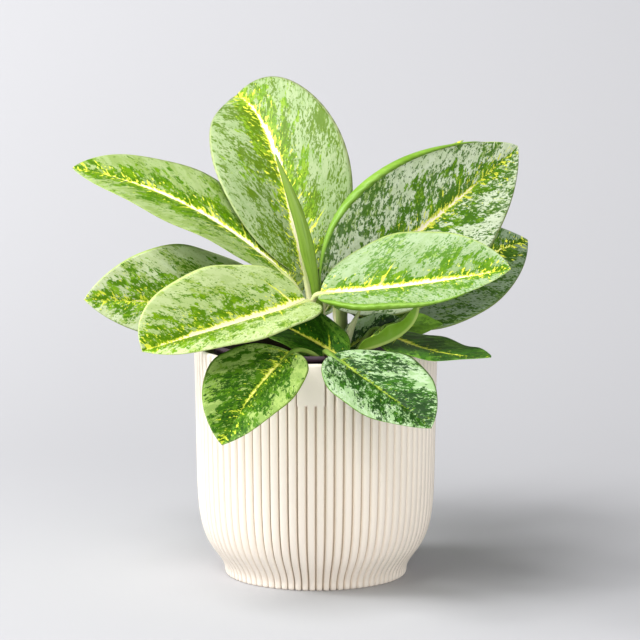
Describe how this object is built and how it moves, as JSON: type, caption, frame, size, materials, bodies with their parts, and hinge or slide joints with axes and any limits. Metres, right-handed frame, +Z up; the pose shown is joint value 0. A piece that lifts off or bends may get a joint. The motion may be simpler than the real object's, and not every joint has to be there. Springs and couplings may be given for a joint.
{
  "type": "potted chinese evergreen",
  "caption": "Young leafy house plant with broad pointed speckled leaves, in a grow pot inside a round fluted plastic planter.",
  "frame": {"origin": "centre of the planter's flat underside, on the surface it stands on", "axes": "+Z up, -Y towards the front with the plain plaque, +X to the right seen from the front"},
  "size_m": [0.2674, 0.2926, 0.2812],
  "materials": {
    "planter": "matte cream moulded plastic",
    "nursery_pot": "dark thin moulded plastic",
    "soil": null,
    "cane": null,
    "leaf": null,
    "spear": null
  },
  "bodies": {
    "root": {"cane_1": "cane", "cane_2": "cane", "cane_3": "cane", "cane_4": "cane", "cane_5": "cane", "leaf_back_high": "leaf", "leaf_back_left": "leaf", "leaf_back_low_left": "leaf", "leaf_back_low_right": "leaf", "leaf_back_right": "leaf", "leaf_left_back": "leaf", "leaf_left_front": "leaf", "leaf_low_centre": "leaf", "leaf_low_left": "leaf", "leaf_low_right": "leaf", "leaf_right_back": "leaf", "leaf_right_front": "leaf", "leaf_right_low": "leaf", "leaf_right_under": "leaf", "leaf_small_folded": "leaf", "leaf_small_right": "leaf", "leaf_top": "leaf", "leaf_upper_left": "leaf", "leaf_upper_right": "leaf", "leaf_upper_right_back": "leaf", "nursery_pot": "nursery_pot", "planter": "planter", "soil": "soil", "spear_main": "spear", "spear_small": "spear"}
  },
  "joints": []
}
